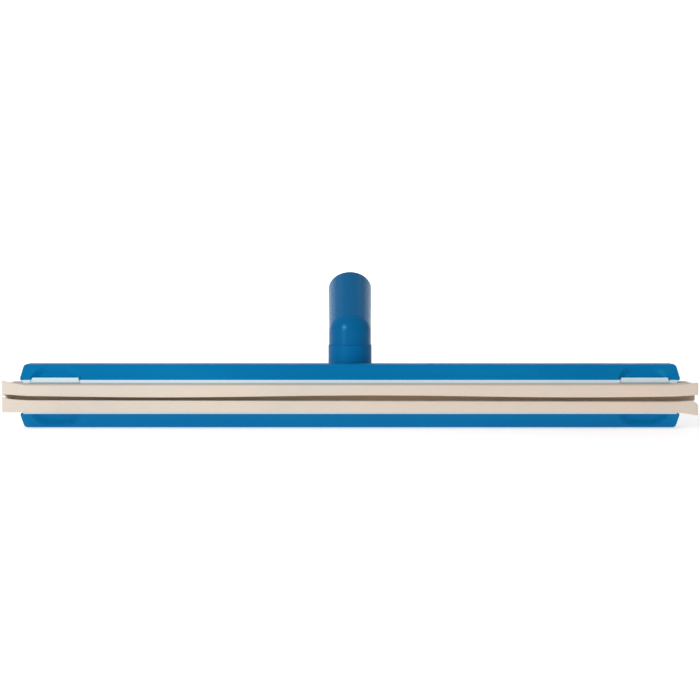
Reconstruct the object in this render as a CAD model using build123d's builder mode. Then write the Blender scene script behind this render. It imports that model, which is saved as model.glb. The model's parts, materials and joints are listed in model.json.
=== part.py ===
from build123d import *
import os
from math import cos, radians, sin

# Double-blade floor squeegee head, 500 mm wide, lying on its lower flank.
# X runs along the blades, the blades point to -Y and +Z is up. The origin is the middle of the
# bounding box at the floor. Sections are drawn in (depth, height): depth is counted back from the
# blade tips and height from the middle plane between the two blades.

# ---- driving dimensions, millimetres ----
blade_length = 500.0
blade_depth = 38.8
blade_thick = 8.4
slit_width = 3.6

frame_half = 23.5           # half height of the frame
frame_back = 44.0
rim_depth = 20.5
rim_half = 12.4
land_depth = 29.0           # where the sloped flank meets the flat land
rim_half_length = 241.8
land_half_length = 240.4
frame_corner_radius = 2.6
land_edge_radius = 4.0
back_edge_radius = 1.8
channel_half = 11.9
channel_floor = 41.5

rail_half = 11.6            # outer face of the cassette rails
rail_back = 41.0
rail_front = 18.3
rail_length = 478.0
lip_depth = 1.9
lip_half = 12.4
pin_radius = 1.5
pin_head_radius = 2.6
pin_head_height = 0.8
pin_depth = 34.0
pin_stations = (30.0, 90.0, 150.0, 190.0)

tab_station = 215.5
tab_length = 35.6
tab_play = 0.25             # gap beside each release tab in the frame
window_play = 0.15          # gap beside it in the rail
tab_inner = 11.8
tab_outer = 12.8
tab_ear = 14.1
tab_skirt = 10.5            # the tab's front edge reaches down to here
tab_hinge_depth = 36.5
tab_hinge_half = 12.3
tab_barrel_radius = 0.8

swivel_depth = 61.0         # where the neck's upright axis stands
hub_radius = 16.4
hub_top = 36.5
hub_bottom = -15.0
hub_top_chamfer = 0.15
neck_gap = 0.15             # between the hub and the turning neck
neck_radius = 16.0
elbow_height = 47.0
socket_angle = 36.0
socket_reach = 54.0         # elbow centre to the socket's mouth
socket_radius = 17.0
socket_lip = 1.5
bore_radius = 12.5

shaft_radius = 5.0
shaft_bottom = -12.8
shaft_head_bottom = 43.0
shaft_head_top = 47.0
shaft_head_radius = 7.5
running_gap = 0.05
seat_gap = 0.02
bush_radius = 7.0
flange_radius = 8.0
flange_thick = 1.5
chamber_radius = 10.0
chamber_top = 4.0
waist_radius = 6.0          # bore between the two bushes
waist_top = 22.0
waist_bottom = 12.0

cap_radius = 13.0
cap_thick = 1.8
cap_collar_inner = 8.6
cap_collar_height = 2.0
cap_collar_gap = 0.08
cap_slot_length = 9.0
cap_slot_width = 1.6
cap_slot_depth = 0.9

track_radius = 10.8         # where the detent ball runs under the neck
track_half_width = 1.45
track_depth = 0.7
dimple_radius = 1.7
dimple_depth = 1.3
click_count = 4
ball_radius = 1.6
ball_pocket = 1.7
ball_pocket_depth = 13.0
ball_height = hub_top - track_depth - neck_gap
detent_spring_foot = 23.6
detent_spring_radius = 1.15
detent_spring_wire = 0.3
detent_spring_turns = 7

plate_radius = 9.0
plate_bottom = 1.2
plate_top = 2.3
neck_spring_radius = 7.2
neck_spring_wire = 0.8
neck_spring_turns = 2.5
nut_radius = 8.6
nut_bottom = -12.0
nut_thick = 6.0
seal_ring = 14.3
seal_wire = 0.8
seal_stand = 0.1            # how far the seal stands out of its groove

# ---- places worked out from them ----
middle = frame_half
mouth_reach = (socket_reach - socket_lip, socket_radius - socket_lip)
turn = radians(socket_angle)
overall_depth = swivel_depth + mouth_reach[0] * cos(turn) + mouth_reach[1] * sin(turn) + socket_lip
tip_y = -overall_depth / 2
swivel_y = tip_y + swivel_depth
neck_bottom = hub_top + neck_gap
blade_inner = slit_width / 2
blade_outer = blade_inner + blade_thick

SECTION = Plane(origin=(0, tip_y, middle), x_dir=(0, 1, 0), z_dir=(1, 0, 0))
FRONT = Plane(origin=(0, tip_y, middle), x_dir=(1, 0, 0), z_dir=(0, -1, 0))
SOCKET = Plane(
    origin=(0, swivel_y, middle + elbow_height),
    x_dir=(0, cos(turn), sin(turn)),
    z_dir=(1, 0, 0),
)
SWIVEL_AXIS = Axis((0, swivel_y, 0), (0, 0, 1))
SOCKET_AXIS = Axis(SOCKET.origin, SOCKET.x_dir)


def level(height):
    """Horizontal plane at a height above the middle plane, with local y as depth."""
    return Plane.XY.offset(middle + height).move(Location((0, tip_y, 0)))


def save(piece, name):
    piece.label = name
    export_step(piece, f"parts/{name}.step")


os.makedirs("parts", exist_ok=True)


# ---- frame: one moulding with channel, scoops, cored back and hub ----
flank_run = land_depth - rim_depth
flank_rise = frame_half - rim_half
scoop_half_length = 18.3
scoop_reach = 12.0
scoop_bite = 2.8
scoop_slope = 48
pocket_front = 31.5
pocket_inner = 14.8
pocket_outer = 20.9
pocket_pitch = 38.0
pocket_length = 35.5
pocket_count = 12
slot_half = 13.4            # guide slots for the tabs, cut outward from the channel
ear_notch_half = 15.2
ear_notch_depth = 23.4
latch_groove_half = 14.2
latch_groove = (24.4, 27.6)
pedestal_top = 21.0
gusset_reach = 78.0
gusset_half = 7.0
gusset_back = 68.0

# quarter of the frame's outline along the depth, from the channel out to the corner
quarter = [
    (rim_half_length - 1.6, rim_half - 0.8),
    (rim_half_length - 0.4, rim_half),
    (rim_half_length, rim_half + 1.4),
    (land_half_length, frame_half + 0.01),
]
end_outline = quarter + [(-x, z) for x, z in reversed(quarter)]
end_outline += [(-x, -z) for x, z in quarter]
end_outline += [(x, -z) for x, z in reversed(quarter)]

with BuildPart() as frame:
    with BuildSketch(SECTION):
        with BuildLine():
            Polyline(
                (rim_depth, -rim_half),
                (land_depth, -frame_half),
                (frame_back, -frame_half),
                (frame_back, frame_half),
                (land_depth, frame_half),
                (rim_depth, rim_half),
                close=True,
            )
        face = make_face()
        land_corners = face.vertices().filter_by(lambda v: abs(v.X - land_depth) < 0.1)
        fillet(land_corners, land_edge_radius)
    extrude(amount=rim_half_length, both=True)
    fillet(frame.edges().filter_by(Axis.X).group_by(Axis.Y)[-1], back_edge_radius)

    # slanted ends with rounded corners, as seen along the depth
    with BuildSketch(FRONT):
        with BuildLine():
            Polyline(*end_outline, close=True)
        outline = make_face()
        end_corners = outline.vertices().filter_by(lambda v: abs(v.Y) > frame_half)
        fillet(end_corners, frame_corner_radius)
    extrude(amount=-2 * frame_back, mode=Mode.INTERSECT)

    # hub for the neck, on a pedestal with two gussets
    with BuildSketch(level(hub_bottom)):
        with Locations((0, (frame_back + swivel_depth) / 2 - 1)):
            Rectangle(2 * hub_radius, swivel_depth - frame_back + 2)
        with Locations((0, swivel_depth)):
            Circle(hub_radius)
    extrude(amount=pedestal_top - hub_bottom)
    with BuildSketch(level(hub_bottom)):
        with Locations((0, swivel_depth)):
            Circle(hub_radius)
    extrude(amount=hub_top - hub_bottom)
    with BuildSketch(level(-gusset_half)):
        with BuildLine():
            Polyline(
                (-gusset_reach, frame_back - 1),
                (-hub_radius + 1, gusset_back),
                (hub_radius - 1, gusset_back),
                (gusset_reach, frame_back - 1),
                close=True,
            )
        make_face()
    extrude(amount=2 * gusset_half)
    chamfer(frame.edges().filter_by(GeomType.CIRCLE).group_by(Axis.Z)[-1], hub_top_chamfer)

    # channel for the cassette, open at the rim and at both ends
    with BuildSketch(SECTION):
        with Locations(((channel_floor + rim_depth - 2) / 2, 0)):
            Rectangle(channel_floor - rim_depth + 2, 2 * channel_half)
    extrude(amount=rim_half_length + 1, both=True, mode=Mode.SUBTRACT)

    # guide slots, notches and latch grooves for the two tabs, cut up from the channel
    slot_cuts = (
        (rim_depth - 2, tab_hinge_depth + 1.6, slot_half),
        (rim_depth - 2, ear_notch_depth, ear_notch_half),
        (latch_groove[0], latch_groove[1], latch_groove_half),
    )
    for near, far, reach in slot_cuts:
        with BuildSketch(level(channel_half - 0.5)):
            with GridLocations(2 * tab_station, 1, 2, 1):
                with Locations((0, (near + far) / 2)):
                    Rectangle(tab_length + 2 * tab_play, far - near)
        extrude(amount=reach - channel_half + 0.5, mode=Mode.SUBTRACT)

    # finger scoops: half ovals sunk into the flanks, open at the rim
    for side in (-1, 1):
        for face_sign in (-1, 1):
            rim_point = (side * tab_station, tip_y + rim_depth, middle + face_sign * rim_half)
            up_flank = (0, flank_run, face_sign * flank_rise)
            outward = (0, -flank_rise, face_sign * flank_run)
            scoop_plane = Plane(origin=rim_point, x_dir=up_flank, z_dir=outward)
            with BuildSketch(scoop_plane):
                SlotOverall(2 * scoop_half_length, 2 * scoop_reach, rotation=90)
            extrude(amount=-scoop_bite, taper=scoop_slope, mode=Mode.SUBTRACT)

    # ribbed pockets cored into the back, above and below the channel
    with BuildSketch(Plane(origin=(0, tip_y + frame_back, middle), x_dir=(1, 0, 0), z_dir=(0, -1, 0))):
        for row in (-1, 1):
            with Locations((0, row * (pocket_inner + pocket_outer) / 2)):
                with GridLocations(pocket_pitch, 1, pocket_count, 1):
                    RectangleRounded(pocket_length, pocket_outer - pocket_inner, 1.5)
    extrude(amount=frame_back - pocket_front, mode=Mode.SUBTRACT)

    # stepped cavity for the bearing: bush seats, spring chamber and seal groove
    with BuildSketch(SECTION):
        with BuildLine():
            Polyline(
                (swivel_depth, hub_top + 1),
                (swivel_depth + flange_radius + seat_gap, hub_top + 1),
                (swivel_depth + flange_radius + seat_gap, hub_top - 2 * flange_thick),
                (swivel_depth + bush_radius + seat_gap, hub_top - 2 * flange_thick),
                (swivel_depth + bush_radius + seat_gap, waist_top),
                (swivel_depth + waist_radius, waist_top),
                (swivel_depth + waist_radius, waist_bottom),
                (swivel_depth + bush_radius + seat_gap, waist_bottom),
                (swivel_depth + bush_radius + seat_gap, chamber_top),
                (swivel_depth + chamber_radius, chamber_top),
                (swivel_depth + chamber_radius, hub_bottom - 1),
                (swivel_depth, hub_bottom - 1),
                close=True,
            )
        make_face()
    revolve(axis=SWIVEL_AXIS, mode=Mode.SUBTRACT)
    with BuildSketch(SECTION):
        with Locations((swivel_depth + seal_ring, hub_top)):
            Rectangle(2 * seal_wire + 0.1, 2 * (2 * seal_wire - seal_stand))
    revolve(axis=SWIVEL_AXIS, mode=Mode.SUBTRACT)
    with BuildSketch(level(hub_top)):
        with Locations((0, swivel_depth - track_radius)):
            Circle(ball_pocket)
    extrude(amount=-ball_pocket_depth, mode=Mode.SUBTRACT)

save(frame.part, "frame")


# ---- bearing pieces in the hub ----
def washer_profile(inner, outer, low, high):
    """Rectangle of a ring about the swivel axis, drawn in the section plane."""
    with BuildSketch(SECTION) as ring:
        with BuildLine():
            Polyline(
                (swivel_depth + inner, low),
                (swivel_depth + outer, low),
                (swivel_depth + outer, high),
                (swivel_depth + inner, high),
                close=True,
            )
        make_face()
    return ring.sketch


bush_bore = shaft_radius + running_gap
flange_top = hub_top - flange_thick
lower_flange = chamber_top - flange_thick
washer_top = neck_bottom - running_gap

with BuildPart() as upper_bush:
    revolve(washer_profile(bush_bore, bush_radius, waist_top, flange_top), axis=SWIVEL_AXIS)
    upper_flange = washer_profile(bush_bore, flange_radius, flange_top - flange_thick, flange_top)
    revolve(upper_flange, axis=SWIVEL_AXIS)
save(upper_bush.part, "upper_bush")

with BuildPart() as lower_bush:
    revolve(washer_profile(bush_bore, bush_radius, lower_flange, waist_bottom), axis=SWIVEL_AXIS)
    revolve(washer_profile(bush_bore, flange_radius, lower_flange, chamber_top), axis=SWIVEL_AXIS)
save(lower_bush.part, "lower_bush")

with BuildPart() as thrust_washer:
    revolve(washer_profile(bush_bore, flange_radius - 0.1, flange_top, washer_top), axis=SWIVEL_AXIS)
save(thrust_washer.part, "thrust_washer")

with BuildPart() as neck_seal:
    with BuildSketch(SECTION):
        with Locations((swivel_depth + seal_ring, hub_top - seal_wire + seal_stand)):
            Circle(seal_wire)
    revolve(axis=SWIVEL_AXIS)
save(neck_seal.part, "neck_seal")

with BuildPart() as hub_cap:
    revolve(washer_profile(0, cap_radius, hub_bottom - cap_thick, hub_bottom), axis=SWIVEL_AXIS)
    chamfer(hub_cap.edges().group_by(Axis.Z)[0], 0.6)
    collar_outer = chamber_radius - cap_collar_gap
    collar_top = hub_bottom + cap_collar_height
    revolve(washer_profile(cap_collar_inner, collar_outer, hub_bottom, collar_top), axis=SWIVEL_AXIS)
    with BuildSketch(level(hub_bottom - cap_thick)):
        with Locations((0, swivel_depth)):
            Rectangle(cap_slot_length, cap_slot_width)
    extrude(amount=cap_slot_depth, mode=Mode.SUBTRACT)
save(hub_cap.part, "hub_cap")

ball_place = (0, swivel_y - track_radius, middle + ball_height)
with BuildPart() as detent_ball:
    with Locations(ball_place):
        Sphere(ball_radius)
save(detent_ball.part, "detent_ball")


def coil(low, high, mean_radius, wire, turns, centre_y):
    """Upright round-wire compression spring between two heights."""
    with BuildPart() as spring:
        with BuildLine() as path:
            Helix(
                pitch=(high - low - 2 * wire) / turns,
                height=high - low - 2 * wire,
                radius=mean_radius,
                center=(0, centre_y, middle + low + wire),
            )
        with BuildSketch(Plane(origin=path.line @ 0, z_dir=path.line % 0)):
            Circle(wire)
        sweep(path=path.line)
    return spring.part


detent_spring = coil(
    detent_spring_foot,
    ball_height - ball_radius - running_gap,
    detent_spring_radius,
    detent_spring_wire,
    detent_spring_turns,
    swivel_y - track_radius,
)
save(detent_spring, "detent_spring")


# ---- neck: elbow with the handle socket, and what turns with it ----
bore_bottom = 14.0
bore_end = 10.0
thread_start = 16.0
thread_pitch = 4.0
thread_turns = 2
thread_height = 0.9
crest_half = 0.4
root_half = 1.2
bore_cone_radius = 8.0
barrel_waist = 0.35         # share of the reach where the barrel starts to swell
shaft_seat = shaft_radius + seat_gap

with BuildPart() as neck:
    with BuildSketch(level(neck_bottom)):
        with Locations((0, swivel_depth)):
            Circle(neck_radius)
    extrude(amount=elbow_height - neck_bottom)
    with Locations(SOCKET.origin):
        Sphere(neck_radius)
    with BuildSketch(SOCKET):
        with BuildLine():
            Polyline(
                (0, 0),
                (0, neck_radius),
                (socket_reach * barrel_waist, neck_radius + 0.3),
                (socket_reach, socket_radius),
                (socket_reach, 0),
                close=True,
            )
        barrel = make_face()
        mouth_corner = barrel.vertices().sort_by(Axis.X)[-2:].sort_by(Axis.Y)[-1]
        fillet(mouth_corner, socket_lip)
    revolve(axis=SOCKET_AXIS)
    # flat underside where the neck faces the hub
    with BuildSketch(level(neck_bottom)):
        with Locations((0, swivel_depth)):
            Circle(2 * hub_radius)
    extrude(amount=-neck_radius, mode=Mode.SUBTRACT)
    # blind socket: entry chamfer, smooth bore, thread ridges and a coned end
    with BuildSketch(SOCKET):
        with BuildLine():
            outline_points = [
                (socket_reach + 1, 0),
                (socket_reach + 1, bore_radius + 2),
                (socket_reach - 1, bore_radius),
            ]
            for number in range(thread_turns, -1, -1):
                crest = thread_start + number * thread_pitch
                outline_points += [
                    (crest + root_half, bore_radius),
                    (crest + crest_half, bore_radius - thread_height),
                    (crest - crest_half, bore_radius - thread_height),
                    (crest - root_half, bore_radius),
                ]
            outline_points += [(bore_bottom, bore_radius), (bore_end, bore_cone_radius), (bore_end, 0)]
            Polyline(*outline_points, close=True)
        make_face()
    revolve(axis=SOCKET_AXIS, mode=Mode.SUBTRACT)
    # seat of the shaft and its hexagonal head
    revolve(
        washer_profile(0, shaft_seat, neck_bottom - 1, shaft_head_bottom + 1),
        axis=SWIVEL_AXIS,
        mode=Mode.SUBTRACT,
    )
    with BuildSketch(level(shaft_head_bottom)):
        with Locations((0, swivel_depth)):
            RegularPolygon(shaft_head_radius, 6)
    extrude(amount=shaft_head_top - shaft_head_bottom, mode=Mode.SUBTRACT)
    # ball track, with a deeper dimple for each click position
    track_inner = track_radius - track_half_width
    track_outer = track_radius + track_half_width
    revolve(
        washer_profile(track_inner, track_outer, neck_bottom - 1, neck_bottom + track_depth),
        axis=SWIVEL_AXIS,
        mode=Mode.SUBTRACT,
    )
    with BuildSketch(level(neck_bottom)):
        with Locations((0, swivel_depth)):
            with PolarLocations(track_radius, click_count):
                Circle(dimple_radius)
    extrude(amount=dimple_depth, mode=Mode.SUBTRACT)
save(neck.part, "neck")

with BuildPart() as swivel_shaft:
    revolve(washer_profile(0, shaft_radius, shaft_bottom, shaft_head_bottom), axis=SWIVEL_AXIS)
    with BuildSketch(level(shaft_head_bottom)):
        with Locations((0, swivel_depth)):
            RegularPolygon(shaft_head_radius, 6)
    extrude(amount=shaft_head_top - shaft_head_bottom)
    chamfer(swivel_shaft.edges().group_by(Axis.Z)[0], 0.8)
save(swivel_shaft.part, "swivel_shaft")

with BuildPart() as spring_plate:
    revolve(washer_profile(shaft_radius + 0.1, plate_radius, plate_bottom, plate_top), axis=SWIVEL_AXIS)
save(spring_plate.part, "spring_plate")

neck_spring = coil(
    nut_bottom + nut_thick + 0.1,
    plate_bottom - running_gap,
    neck_spring_radius,
    neck_spring_wire,
    neck_spring_turns,
    swivel_y,
)
save(neck_spring, "neck_spring")

with BuildPart() as lock_nut:
    with BuildSketch(level(nut_bottom)):
        with Locations((0, swivel_depth)):
            RegularPolygon(nut_radius, 6)
            Circle(shaft_seat, mode=Mode.SUBTRACT)
    extrude(amount=nut_thick)
save(lock_nut.part, "lock_nut")


# ---- cassette: two rails pinned round the blades and the spacer between them ----
tab_window = tab_length + 2 * window_play
window_back = tab_hinge_depth + 1.4
relief_front = rail_front - 0.6
relief_bite = 1.5


def pin_places():
    return [(side * station, pin_depth) for station in pin_stations for side in (-1, 1)]


def make_rail(sign):
    """Rail on one side of the cassette; the upper one, sign +1, has the windows for the tabs."""
    with BuildPart() as rail:
        with BuildSketch(SECTION):
            with BuildLine():
                Polyline(
                    (rail_front, sign * blade_outer),
                    (rail_front, sign * lip_half),
                    (rail_front + lip_depth, sign * lip_half),
                    (rail_front + lip_depth, sign * rail_half),
                    (rail_back, sign * rail_half),
                    (rail_back, sign * blade_inner),
                    (blade_depth, sign * blade_inner),
                    (blade_depth, sign * blade_outer),
                    close=True,
                )
            make_face()
        extrude(amount=rail_length / 2, both=True)
        chamfer(rail.edges().filter_by(Axis.X).group_by(Axis.Y)[0], 0.3)
        if sign > 0:
            with BuildSketch(level(blade_outer)):
                with GridLocations(2 * tab_station, 1, 2, 1):
                    with Locations((0, (rail_front - 1 + window_back) / 2)):
                        Rectangle(tab_window, window_back - rail_front + 1)
            extrude(amount=lip_half - blade_outer, mode=Mode.SUBTRACT)
        with BuildSketch(level(0)):
            with Locations(*pin_places()):
                Circle(pin_radius + seat_gap)
        extrude(amount=sign * (rail_half + 1), mode=Mode.SUBTRACT)
        with BuildSketch(level(sign * (rail_half - pin_head_height))):
            with Locations(*pin_places()):
                Circle(pin_head_radius + seat_gap)
        extrude(amount=sign * (pin_head_height + 1), mode=Mode.SUBTRACT)
    return rail.part


def make_blade(sign):
    """Rubber strip on one side of the slit; the upper one is sunk a little under the tabs."""
    with BuildPart() as blade:
        with BuildSketch(level(sign * blade_inner)):
            with Locations((0, blade_depth / 2)):
                Rectangle(blade_length, blade_depth)
            with Locations(*pin_places()):
                Circle(pin_radius + seat_gap, mode=Mode.SUBTRACT)
        extrude(amount=sign * blade_thick)
        if sign > 0:
            with BuildSketch(level(blade_outer)):
                with GridLocations(2 * tab_station, 1, 2, 1):
                    with Locations((0, (relief_front + window_back) / 2)):
                        Rectangle(tab_window, window_back - relief_front)
            extrude(amount=-relief_bite, mode=Mode.SUBTRACT)
    return blade.part


save(make_rail(1), "cassette_rail_upper")
save(make_rail(-1), "cassette_rail_lower")
save(make_blade(1), "blade_upper")
save(make_blade(-1), "blade_lower")

spacer_front = 10.5
with BuildPart() as blade_spacer:
    with BuildSketch(level(-blade_inner)):
        with Locations((0, (spacer_front + rail_back) / 2)):
            Rectangle(blade_length, rail_back - spacer_front)
        with Locations(*pin_places()):
            Circle(pin_radius + seat_gap, mode=Mode.SUBTRACT)
    extrude(amount=slit_width)
save(blade_spacer.part, "blade_spacer")

with BuildPart() as cassette_pins:
    with BuildSketch(level(-rail_half + 0.05)):
        with Locations(*pin_places()):
            Circle(pin_radius)
    extrude(amount=2 * rail_half - 0.1)
    for sign in (-1, 1):
        with BuildSketch(level(sign * (rail_half - pin_head_height))):
            with Locations(*pin_places()):
                Circle(pin_head_radius)
        extrude(amount=sign * (pin_head_height - 0.05))
save(cassette_pins.part, "cassette_pins")


# ---- release tabs: sprung tongues on the upper side that lock the cassette into the frame ----
ear_back = 22.0
nib = (25.0, 27.0)
nib_half = 13.1
skirt_back = 19.4
ear_side_slope = 74         # degrees, the tab narrows upward


def make_tab(side):
    """Tongue above the upper rail, with a skirt and ear at the front, a latch nib and a round root."""
    with BuildPart() as tab:
        with BuildSketch(SECTION):
            with BuildLine():
                Polyline(
                    (rail_front, tab_skirt),
                    (rail_front, tab_ear - 0.8),
                    (rail_front + 0.8, tab_ear),
                    (ear_back - 1.0, tab_ear),
                    (ear_back, tab_outer),
                    (nib[0], tab_outer),
                    (nib[0] + 0.3, nib_half),
                    (nib[1] - 1.0, nib_half),
                    (nib[1], tab_outer),
                    (tab_hinge_depth, tab_outer),
                    (tab_hinge_depth, tab_inner),
                    (skirt_back, tab_inner),
                    (skirt_back, tab_skirt),
                    close=True,
                )
            make_face()
            with Locations((tab_hinge_depth, tab_hinge_half)):
                Circle(tab_barrel_radius)
        extrude(amount=tab_length / 2, both=True)
        with BuildSketch(FRONT):
            with Locations((0, tab_skirt + (tab_ear - tab_skirt) / 2)):
                Trapezoid(tab_length, tab_ear - tab_skirt, ear_side_slope)
        extrude(amount=-frame_back, mode=Mode.INTERSECT)
    return tab.part.moved(Location((side * tab_station, 0, 0)))


for side, side_name in ((-1, "left"), (1, "right")):
    save(make_tab(side), f"release_tab_{side_name}")
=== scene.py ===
import json
import math

import bmesh
import bpy
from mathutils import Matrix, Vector, noise

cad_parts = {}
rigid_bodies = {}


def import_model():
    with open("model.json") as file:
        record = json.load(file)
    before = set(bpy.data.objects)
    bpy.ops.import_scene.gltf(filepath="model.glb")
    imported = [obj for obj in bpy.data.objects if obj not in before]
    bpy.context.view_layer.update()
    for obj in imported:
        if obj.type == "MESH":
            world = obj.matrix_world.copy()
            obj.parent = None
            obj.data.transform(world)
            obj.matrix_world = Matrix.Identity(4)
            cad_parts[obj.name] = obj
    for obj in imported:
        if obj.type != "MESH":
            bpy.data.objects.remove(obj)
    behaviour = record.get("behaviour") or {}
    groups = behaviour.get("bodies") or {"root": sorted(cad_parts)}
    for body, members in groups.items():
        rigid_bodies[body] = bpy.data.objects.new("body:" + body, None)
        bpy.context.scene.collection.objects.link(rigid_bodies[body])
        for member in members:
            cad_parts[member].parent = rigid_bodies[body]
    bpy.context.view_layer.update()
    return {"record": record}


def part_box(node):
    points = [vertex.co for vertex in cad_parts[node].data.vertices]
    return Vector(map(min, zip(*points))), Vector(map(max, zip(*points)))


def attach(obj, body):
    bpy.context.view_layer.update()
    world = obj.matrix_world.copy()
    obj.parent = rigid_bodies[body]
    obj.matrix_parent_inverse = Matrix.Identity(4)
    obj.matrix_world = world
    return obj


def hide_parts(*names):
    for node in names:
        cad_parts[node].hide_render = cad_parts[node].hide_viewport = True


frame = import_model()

# ---------------------------------------------------------------- places taken from the frame
blade_up_low, blade_up_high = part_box("blade_upper")
blade_dn_low, blade_dn_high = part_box("blade_lower")
rail_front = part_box("cassette_rail_upper")[0][1]
tab_low, tab_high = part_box("release_tab_right")
TIP_Y = blade_up_low[1]
SLIT_Z = (blade_up_low[2] + blade_dn_high[2]) / 2
BLADE_HALF = blade_up_high[0]

shaft_low, shaft_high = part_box("swivel_shaft")
HUB_CENTRE = ((shaft_low[0] + shaft_high[0]) / 2, (shaft_low[1] + shaft_high[1]) / 2)
NECK_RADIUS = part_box("neck")[1][0]

# ---------------------------------------------------------------- camera
CAMERA_DISTANCE = 1.0          # from the blade tips; assumed, as the photo does not fix it
SIGHT_ANGLE = math.radians(4.8)
CAMERA_PITCH = math.radians(2.78)
SENSOR_WIDTH = 36.0
FOCAL_LENGTH = 71.6


def make_camera():
    data = bpy.data.cameras.new("camera")
    data.sensor_width = SENSOR_WIDTH
    data.lens = FOCAL_LENGTH
    data.clip_start = 0.01
    data.clip_end = 50.0
    camera = bpy.data.objects.new("camera", data)
    bpy.context.collection.objects.link(camera)
    camera.location = (
        0.0,
        TIP_Y - CAMERA_DISTANCE * math.cos(SIGHT_ANGLE),
        SLIT_Z + CAMERA_DISTANCE * math.sin(SIGHT_ANGLE),
    )
    camera.rotation_euler = (math.pi / 2 - CAMERA_PITCH, 0.0, 0.0)
    bpy.context.scene.camera = camera


make_camera()


# ---------------------------------------------------------------- materials
def linear(red, green, blue):
    """Linear colour from the 0 to 255 values a paint chart gives."""
    def one(value):
        value = value / 255.0
        return value / 12.92 if value <= 0.04045 else ((value + 0.055) / 1.055) ** 2.4
    return (one(red), one(green), one(blue), 1.0)


class Shading:
    """A Principled material with helpers for the few node patterns used here."""

    def __init__(self, name):
        self.material = bpy.data.materials.new(name)
        self.material.use_nodes = True
        self.nodes = self.material.node_tree.nodes
        self.links = self.material.node_tree.links
        self.shader = self.nodes["Principled BSDF"]
        self.place = self.nodes.new("ShaderNodeTexCoord").outputs["Object"]

    def stretched(self, scale):
        mapping = self.nodes.new("ShaderNodeMapping")
        mapping.inputs["Scale"].default_value = scale
        self.links.new(self.place, mapping.inputs["Vector"])
        return mapping.outputs["Vector"]

    def from_axis(self, centre):
        """Distance from an upright axis through centre."""
        mapping = self.nodes.new("ShaderNodeMapping")
        mapping.inputs["Location"].default_value = (-centre[0], -centre[1], 0.0)
        mapping.inputs["Scale"].default_value = (1.0, 1.0, 0.0)
        self.links.new(self.place, mapping.inputs["Vector"])
        length = self.nodes.new("ShaderNodeVectorMath")
        length.operation = "LENGTH"
        self.links.new(mapping.outputs["Vector"], length.inputs[0])
        return length.outputs["Value"]

    def noise(self, scale, detail=4.0, rough=0.55, stretch=None, distortion=0.0):
        node = self.nodes.new("ShaderNodeTexNoise")
        node.inputs["Scale"].default_value = scale
        node.inputs["Detail"].default_value = detail
        node.inputs["Roughness"].default_value = rough
        node.inputs["Distortion"].default_value = distortion
        source = self.stretched(stretch) if stretch else self.place
        self.links.new(source, node.inputs["Vector"])
        return node.outputs["Fac"]

    def cells(self, scale):
        node = self.nodes.new("ShaderNodeTexVoronoi")
        node.inputs["Scale"].default_value = scale
        self.links.new(self.place, node.inputs["Vector"])
        return node.outputs["Distance"]

    def ramp(self, value, stops):
        node = self.nodes.new("ShaderNodeValToRGB")
        elements = node.color_ramp.elements
        while len(elements) < len(stops):
            elements.new(0.5)
        for element, (position, colour) in zip(elements, stops):
            element.position = position
            element.color = colour
        self.links.new(value, node.inputs["Fac"])
        return node.outputs["Color"]

    def span(self, value, low, high, from_low=0.0, from_high=1.0):
        node = self.nodes.new("ShaderNodeMapRange")
        node.inputs["From Min"].default_value = from_low
        node.inputs["From Max"].default_value = from_high
        node.inputs["To Min"].default_value = low
        node.inputs["To Max"].default_value = high
        self.links.new(value, node.inputs["Value"])
        return node.outputs["Result"]

    def mix(self, amount, first, second, blend="MIX"):
        node = self.nodes.new("ShaderNodeMix")
        node.data_type = "RGBA"
        node.blend_type = blend
        for place, value in (("Factor", amount), ("A", first), ("B", second)):
            socket = node.inputs[place]
            if isinstance(value, (float, tuple)):
                socket.default_value = value
            else:
                self.links.new(value, socket)
        return node.outputs["Result"]

    def math(self, operation, first, second):
        node = self.nodes.new("ShaderNodeMath")
        node.operation = operation
        for socket, value in zip(node.inputs, (first, second)):
            if isinstance(value, float):
                socket.default_value = value
            else:
                self.links.new(value, socket)
        return node.outputs["Value"]

    def bump(self, height, strength, distance, under=None):
        node = self.nodes.new("ShaderNodeBump")
        node.inputs["Strength"].default_value = strength
        node.inputs["Distance"].default_value = distance
        self.links.new(height, node.inputs["Height"])
        if under:
            self.links.new(under, node.inputs["Normal"])
        return node.outputs["Normal"]

    def set(self, **values):
        for name, value in values.items():
            socket = self.shader.inputs[name.replace("_", " ")]
            if isinstance(value, (float, tuple)):
                socket.default_value = value
            else:
                self.links.new(value, socket)


def grey(value):
    return (value, value, value, 1.0)


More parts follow.
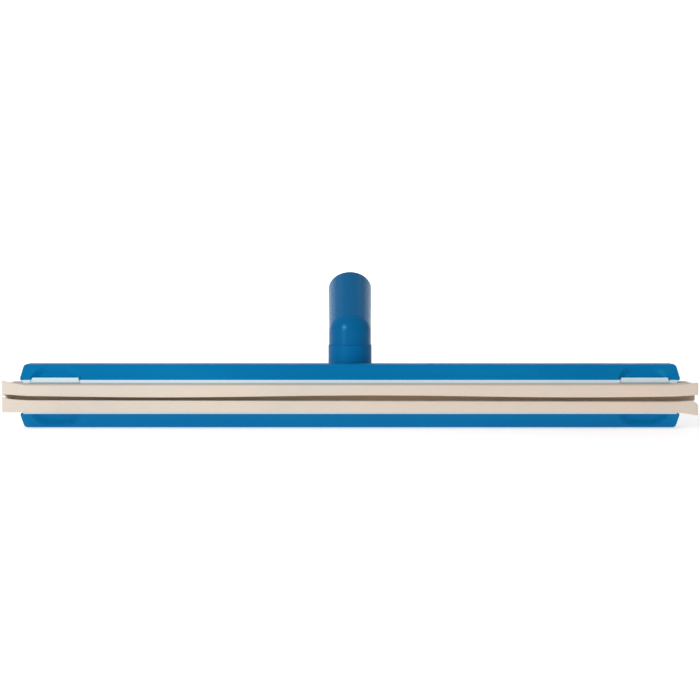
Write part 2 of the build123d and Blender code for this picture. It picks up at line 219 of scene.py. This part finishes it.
def moulded_plastic(
    name, colour, darker, paler, roughness, gloss_spread, texture, gloss, tint, hub_shade=None
):
    """Injection-moulded polypropylene: faint flow clouds, a spark-eroded grain and light scuffs.

    boss is (centre, radius, tone) of an upright cylinder that gets a darker tone of its own:
    painted shade that makes the hub darker than the flanks, though it is moulded with the frame in
    the same blue.
    """
    look = Shading(name)
    flow = look.noise(9.0, detail=3.0, stretch=(0.35, 1.0, 1.0), distortion=0.6)
    clouds = look.ramp(flow, [(0.32, darker), (0.52, colour), (0.74, paler)])
    fine = look.noise(900.0, detail=2.0)
    speckle = look.span(fine, 0.96, 1.04, 0.3, 0.7)
    base = look.mix(1.0, clouds, speckle, blend="MULTIPLY")
    scuff_field = look.noise(140.0, detail=6.0, rough=0.7, stretch=(0.25, 1.0, 1.6))
    scuffs = look.span(scuff_field, 0.0, 1.0, 0.62, 0.78)
    worn = look.mix(look.math("MULTIPLY", scuffs, 0.22), base, paler)
    wear = look.noise(26.0, detail=5.0, rough=0.65)
    rough = look.span(wear, roughness - gloss_spread, roughness + gloss_spread, 0.3, 0.7)
    rough = look.math("ADD", rough, look.math("MULTIPLY", scuffs, 0.12))
    grain = look.bump(look.noise(2600.0, detail=3.0), texture, 0.00006)
    waves = look.noise(60.0, detail=2.0, stretch=(0.4, 1.0, 1.0))
    ripple = look.bump(waves, 0.10, 0.0006, under=grain)
    if hub_shade:
        centre, radius, tone = hub_shade
        # painted shade: the blue is darkened towards tone inside the hub's radius
        hub_shade_mask = look.span(look.from_axis(centre), 1.0, 0.0, radius + 0.0002, radius + 0.0012)
        worn = look.mix(hub_shade_mask, worn, tone)
    look.set(Base_Color=worn, Roughness=rough, Normal=ripple, IOR=1.49)
    look.shader.inputs["Specular IOR Level"].default_value = gloss
    look.shader.inputs["Specular Tint"].default_value = tint
    return look.material


def cellular_rubber(name, warm, plain, cool):
    """Closed-cell rubber: matt, pin-holed with painted shade in the pits and holes, with soft
    clouds of warmer and cooler tone.
    """
    look = Shading(name)
    clouds = look.ramp(
        look.noise(14.0, detail=3.0, stretch=(0.5, 1.0, 1.0)),
        [(0.30, cool), (0.50, plain), (0.70, warm)],
    )
    pores = look.cells(1500.0)
    pits = look.span(pores, 0.0, 1.0, 0.10, 0.34)
    coarse = look.cells(520.0)
    holes = look.span(coarse, 0.0, 1.0, 0.05, 0.16)
    pit_shade_amount = look.math("MULTIPLY", look.math("SUBTRACT", 1.0, pits), 0.16)
    hole_shade_amount = look.math("MULTIPLY", look.math("SUBTRACT", 1.0, holes), 0.30)
    # painted shade: the pits and holes are darkened towards brown
    shade = look.mix(pit_shade_amount, clouds, linear(176, 156, 136))
    shade = look.mix(hole_shade_amount, shade, linear(150, 130, 110))
    cut_lines = look.noise(300.0, detail=4.0, stretch=(0.06, 1.0, 1.0))
    small = look.bump(pits, 0.5, 0.00012)
    large = look.bump(holes, 0.45, 0.00025, under=small)
    sawn = look.bump(cut_lines, 0.22, 0.0003, under=large)
    rough = look.span(look.noise(70.0, detail=4.0), 0.78, 0.94, 0.3, 0.7)
    look.set(Base_Color=shade, Roughness=rough, Normal=sawn)
    look.shader.inputs["Specular IOR Level"].default_value = 0.25
    look.shader.inputs["Sheen Weight"].default_value = 0.12
    look.shader.inputs["Sheen Roughness"].default_value = 0.6
    return look.material


def turned_steel(name, tone):
    """Zinc-plated steel with fine turning lines and small stains."""
    look = Shading(name)
    lines = look.noise(2200.0, detail=2.0, stretch=(0.15, 0.15, 3.0))
    stains = look.noise(120.0, detail=5.0, rough=0.7)
    base = look.ramp(
        stains,
        [(0.35, grey(tone * 0.72)), (0.6, grey(tone)), (0.8, grey(tone * 1.12))],
    )
    rough = look.span(lines, 0.22, 0.42, 0.3, 0.7)
    look.set(Base_Color=base, Roughness=rough, Normal=look.bump(lines, 0.25, 0.00005))
    look.shader.inputs["Metallic"].default_value = 1.0
    return look.material


def bearing_plastic(name):
    """Natural acetal: milky, slightly waxy, with machining lines."""
    look = Shading(name)
    base = look.ramp(
        look.noise(90.0, detail=3.0),
        [(0.35, linear(214, 208, 194)), (0.7, linear(236, 232, 222))],
    )
    rings = look.noise(1400.0, detail=2.0, stretch=(0.3, 0.3, 2.0))
    rough = look.span(rings, 0.34, 0.52, 0.3, 0.7)
    look.set(Base_Color=base, Roughness=rough, Normal=look.bump(rings, 0.2, 0.00005))
    return look.material


def seal_rubber(name):
    """Black nitrile rubber with a dusting of bloom."""
    look = Shading(name)
    bloom = look.noise(260.0, detail=5.0, rough=0.7)
    base = look.ramp(bloom, [(0.4, grey(0.012)), (0.75, grey(0.045))])
    rough = look.span(look.noise(500.0), 0.45, 0.7, 0.3, 0.7)
    look.set(Base_Color=base, Roughness=rough, Normal=look.bump(look.noise(1800.0), 0.2, 0.00005))
    return look.material


BLUE_GLOSS = (0.22, 0.66, 1.0, 1.0)
WHITE_GLOSS = (1.0, 1.0, 1.0, 1.0)

FRAME_BLUE = moulded_plastic(
    "frame_blue_pp",
    colour=linear(3, 117, 172),
    darker=linear(2, 111, 166),
    paler=linear(8, 124, 178),
    roughness=0.46,
    gloss_spread=0.06,
    texture=0.30,
    gloss=0.14,
    tint=BLUE_GLOSS,
    # painted shade on the hub: a darker copy of the frame blue
    hub_shade=(HUB_CENTRE, NECK_RADIUS, linear(3, 99, 151)),
)
NECK_BLUE_WITH_SHADE = moulded_plastic(
    # darker than the frame blue: partly the neck's own moulding, partly painted shade for the neck
    # standing further from the light
    "neck_blue_pp_with_shade",
    colour=linear(3, 94, 145),
    darker=linear(2, 89, 139),
    paler=linear(8, 101, 152),
    roughness=0.27,
    gloss_spread=0.02,
    texture=0.04,
    gloss=0.24,
    tint=BLUE_GLOSS,
)
CASSETTE_WHITE = moulded_plastic(
    "cassette_white_pp",
    colour=linear(214, 233, 243),
    darker=linear(206, 227, 238),
    paler=linear(223, 239, 247),
    roughness=0.40,
    gloss_spread=0.06,
    texture=0.20,
    gloss=0.40,
    tint=WHITE_GLOSS,
)
BLADE_FOAM = cellular_rubber(
    "blade_foam",
    warm=linear(212, 194, 179),
    plain=linear(205, 194, 181),
    cool=linear(198, 187, 177),
)
# painted shade: a darker brown than the blade foam, for the shade deep in the slit between the
# blades
SPACER_FOAM_SHADED = cellular_rubber(
    "spacer_foam_painted_shade",
    warm=linear(196, 172, 144),
    plain=linear(188, 166, 140),
    cool=linear(178, 158, 136),
)
STEEL = turned_steel("zinc_steel", 0.62)
BUSH = bearing_plastic("bush_acetal")
SEAL = seal_rubber("seal_nitrile")

FINISHES = {
    "frame_blue": FRAME_BLUE,
    "neck_blue": NECK_BLUE_WITH_SHADE,
    "cassette_white": CASSETTE_WHITE,
    "blade_rubber": BLADE_FOAM,
    "steel": STEEL,
    "bush_plastic": BUSH,
    "seal_rubber": SEAL,
}

for entry in frame["record"]["subparts"]:
    # the spacer gets the foam darkened with painted shade
    finish = SPACER_FOAM_SHADED if entry["node"] == "blade_spacer" else FINISHES[entry["material_slot"]]
    for slot in bpy.data.objects[entry["node"]].material_slots:
        slot.material = finish


# ---------------------------------------------------------------- rubber blades
MM = 0.001
EDGE_RADIUS = 0.40 * MM
FREE_DEPTH = rail_front - TIP_Y       # the part of a blade that stands out of the cassette
BLADE_DEPTH = blade_up_high[1] - TIP_Y
LENGTH_STEPS = 640
END_INSET = 0.3 * MM                  # from the end of the solid back to the last ring
END_CAP = 0.25 * MM                   # from the last ring out to the flat cut face
CAP_SHARE = 0.985                     # size of the cut face against the last ring
ARC_STEPS = 3
FACE_STATIONS = (2, 4, 6.5, 9, 12, 15, 17.1, 17.7, 20, 24, 28, 32, 36, 37.9)
EDGE_STATIONS = (0.35, 0.65)          # shares of the thickness
LOOSE_POWER = 1.6                     # how fast a blade's freedom fades towards the rail
FINE_BUMPS = 900                      # unevenness of the cut faces, per metre
BROAD_BUMPS = 90
LONG_BUMPS = 60                       # the broad ones are longer along the blade
FINE_PUSH = 0.04 * MM
BROAD_PUSH = 0.08 * MM
RELIEF_MARGIN = 0.3 * MM              # past the tab's own width
RELIEF_RAMP = 0.8 * MM
RELIEF_BITE = 1.5 * MM                # how far the upper blade is pressed in under each tab
RELIEF_FRONT = FREE_DEPTH - 0.65 * MM
RELIEF_BACK = BLADE_DEPTH - 0.85 * MM
NOTCH_LENGTH = 3.6 * MM
CURL_REACH = 20 * MM


def inner_set(x, side):
    """How far the edge beside the slit has moved, in metres; side is 1 for the upper blade."""
    if side > 0:
        return (0.08 + 0.72 * math.cos(2 * math.pi * (x - 15 * MM) / (300 * MM))) * MM
    return 0.35 * MM - 0.0025 * x


def outer_set(side):
    """How much thinner a blade is along its free edge, taken off its outer face."""
    return -0.2 * MM if side > 0 else 0.6 * MM


# how far each corner of the free edge has moved at the blades' ends: (slit side, outer side)
END_SET = {
    ("left", "upper"): (1.3, 3.6),
    ("left", "lower"): (1.7, 0.0),
    ("right", "upper"): (0.9, 2.0),
    ("right", "lower"): (1.4, -2.4),
}


def end_lift(x, side, from_slit):
    """Upward move of a blade's end; the four ends differ in the photo, so each has its own."""
    beyond = max(0.0, abs(x) - (BLADE_HALF - CURL_REACH)) / CURL_REACH
    at_slit, at_outside = END_SET["left" if x < 0 else "right", "upper" if side > 0 else "lower"]
    return (at_slit + (at_outside - at_slit) * from_slit) * MM * beyond ** 1.5


# how far the corner beside the slit drops over the last few millimetres of each blade
CORNER_DROP = {
    ("left", "upper"): 0.9,
    ("left", "lower"): -1.0,
    ("right", "upper"): 0.0,
    ("right", "lower"): 3.2,
}


def end_notch(x, side):
    """The slit nips shut at the left end; at the right the lower blade has lost its corner."""
    beyond = max(0.0, abs(x) - (BLADE_HALF - NOTCH_LENGTH)) / NOTCH_LENGTH
    return CORNER_DROP["left" if x < 0 else "right", "upper" if side > 0 else "lower"] * MM * beyond


def tab_relief(x, u):
    """1 where the upper blade is pressed in under a release tab, 0 away from it."""
    half = (tab_high[0] - tab_low[0]) / 2 + RELIEF_MARGIN
    middle = (tab_high[0] + tab_low[0]) / 2
    along = 1.0 - min(1.0, max(0.0, abs(abs(x) - middle) - half) / RELIEF_RAMP)
    return along if RELIEF_FRONT <= u <= RELIEF_BACK else 0.0


def section_ring(thick):
    """Points round a blade's section as (depth, height), starting at the free edge."""
    points = []
    near, far = EDGE_RADIUS, BLADE_DEPTH - EDGE_RADIUS
    corners = (
        (near, EDGE_RADIUS, math.pi),
        (far, EDGE_RADIUS, 1.5 * math.pi),
        (far, thick - EDGE_RADIUS, 0.0),
        (near, thick - EDGE_RADIUS, 0.5 * math.pi),
    )
    for number, (centre_u, centre_v, start) in enumerate(corners):
        for step in range(ARC_STEPS + 1):
            angle = start + step / ARC_STEPS * math.pi / 2
            across = centre_u + EDGE_RADIUS * math.cos(angle)
            points.append((across, centre_v + EDGE_RADIUS * math.sin(angle)))
        if number == 0:
            points += [(u * MM, 0.0) for u in FACE_STATIONS]
        elif number == 1:
            points += [(BLADE_DEPTH, share * thick) for share in EDGE_STATIONS]
        elif number == 2:
            points += [(u * MM, thick) for u in reversed(FACE_STATIONS)]
        else:
            points += [(0.0, share * thick) for share in reversed(EDGE_STATIONS)]
    return points


def make_blade(name, low, high, side):
    """A strip of cellular rubber with cut edges, a wandering free edge and curled ends."""
    thick = high[2] - low[2]
    ring = section_ring(thick)
    mesh = bmesh.new()
    rows = []
    length = 2 * (BLADE_HALF - END_INSET)
    seed = Vector((3.1 * side, 7.7, 1.3))
    for step in range(LENGTH_STEPS + 1):
        x = -BLADE_HALF + END_INSET + length * step / LENGTH_STEPS
        row = []
        for u, v in ring:
            share = v / thick
            from_slit = share if side > 0 else 1.0 - share
            looseness = max(0.0, 1.0 - u / FREE_DEPTH) ** LOOSE_POWER
            lift = (1.0 - from_slit) * inner_set(x, side) + end_lift(x, side, from_slit)
            z = low[2] + v + looseness * lift
            z += looseness * from_slit * outer_set(side)
            z -= min(1.0, looseness * 2) * (1.0 - from_slit) * end_notch(x, side)
            if side > 0 and share > 0.9:
                z -= RELIEF_BITE * tab_relief(x, u)
            fine = Vector((x * FINE_BUMPS, u * FINE_BUMPS, v * FINE_BUMPS)) + seed
            broad = Vector((x * LONG_BUMPS, u * BROAD_BUMPS, v * BROAD_BUMPS)) + seed
            push = FINE_PUSH * noise.noise(fine) + BROAD_PUSH * noise.noise(broad)
            y = low[1] + u
            if u < EDGE_RADIUS:
                y += abs(push)
            elif u < FREE_DEPTH and not 0.1 < share < 0.9:
                z += push if share > 0.5 else -push
            row.append(mesh.verts.new((x, y, z)))
        rows.append(row)
    count = len(ring)
    for first, second in zip(rows, rows[1:]):
        for number in range(count):
            following = (number + 1) % count
            mesh.faces.new((first[number], first[following], second[following], second[number]))
    for row, flip in ((rows[0], True), (rows[-1], False)):
        cap_end(mesh, row, flip)
    bmesh.ops.recalc_face_normals(mesh, faces=mesh.faces)
    data = bpy.data.meshes.new(name)
    mesh.to_mesh(data)
    mesh.free()
    for polygon in data.polygons:
        polygon.use_smooth = True
    blade = bpy.data.objects.new(name, data)
    bpy.context.collection.objects.link(blade)
    data.materials.append(BLADE_FOAM)
    return blade


def cap_end(mesh, row, flip):
    """Closes one end of a blade with a slightly inset, flat cut face."""
    outward = -1.0 if flip else 1.0
    middle = sum((vertex.co for vertex in row), Vector()) / len(row)
    inner = []
    for vertex in row:
        place = middle + (vertex.co - middle) * CAP_SHARE
        place.x = vertex.co.x + outward * END_CAP
        inner.append(mesh.verts.new(place))
    count = len(row)
    for number in range(count):
        following = (number + 1) % count
        mesh.faces.new((row[number], row[following], inner[following], inner[number]))
    mesh.faces.new(inner)


for name, low, high, side in (
    ("foam_blade_upper", blade_up_low, blade_up_high, 1),
    ("foam_blade_lower", blade_dn_low, blade_dn_high, -1),
):
    blade = make_blade(name, low, high, side)
    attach(blade, "cassette")
    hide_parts("blade_upper" if side > 0 else "blade_lower")


# ---------------------------------------------------------------- floor, walls and light
FLOOR_HALF = 6.0
COVE_RADIUS = 1.5
COVE_START = 3.0


def make_stage():
    """Pale floor that curves up into a backdrop behind the object."""
    mesh = bmesh.new()
    profile = [(-FLOOR_HALF, 0.0), (COVE_START, 0.0)]
    arc_steps = 24
    for step in range(1, arc_steps + 1):
        angle = step / arc_steps * math.pi / 2
        back = COVE_START + COVE_RADIUS * math.sin(angle)
        profile.append((back, COVE_RADIUS * (1 - math.cos(angle))))
    profile.append((COVE_START + COVE_RADIUS, 4.0))
    left = [mesh.verts.new((-FLOOR_HALF, y, z)) for y, z in profile]
    right = [mesh.verts.new((FLOOR_HALF, y, z)) for y, z in profile]
    for number in range(len(profile) - 1):
        mesh.faces.new((left[number], right[number], right[number + 1], left[number + 1]))
    data = bpy.data.meshes.new("floor")
    mesh.to_mesh(data)
    mesh.free()
    for polygon in data.polygons:
        polygon.use_smooth = True
    floor = bpy.data.objects.new("floor", data)
    bpy.context.collection.objects.link(floor)
    look = Shading("pale_floor")
    tone = look.ramp(look.noise(3.0, detail=2.0), [(0.3, grey(0.90)), (0.7, grey(0.93))])
    look.set(Base_Color=tone, Roughness=0.9, Emission_Color=grey(1.0), Emission_Strength=0.40)
    look.shader.inputs["Specular IOR Level"].default_value = 0.1
    data.materials.append(look.material)


def area_light(name, place, target, size, power, colour=(1.0, 1.0, 1.0)):
    data = bpy.data.lights.new(name, "AREA")
    data.shape = "RECTANGLE"
    data.size, data.size_y = size
    data.energy = power
    data.color = colour
    light = bpy.data.objects.new(name, data)
    bpy.context.collection.objects.link(light)
    light.location = place
    aim = Vector(target) - Vector(place)
    light.rotation_euler = aim.to_track_quat("-Z", "Y").to_euler()
    light.visible_camera = False
    return light


def make_light():
    world = bpy.data.worlds.new("studio")
    world.use_nodes = True
    background = world.node_tree.nodes["Background"]
    background.inputs["Color"].default_value = (1.0, 1.0, 1.0, 1.0)
    background.inputs["Strength"].default_value = 0.43
    bpy.context.scene.world = world
    head = (0.0, 0.0, SLIT_Z)
    area_light("softbox_left", (-0.82, -1.25, 0.62), head, (0.28, 0.28), 12.0)
    area_light("strip_left", (-0.88, -1.30, 0.16), head, (0.10, 0.60), 2.9)
    area_light("backdrop_wash", (0.0, 1.6, 2.6), (0.0, 4.4, 0.6), (4.0, 1.0), 60.0)


make_stage()
make_light()
bpy.context.scene.view_settings.view_transform = "Standard"
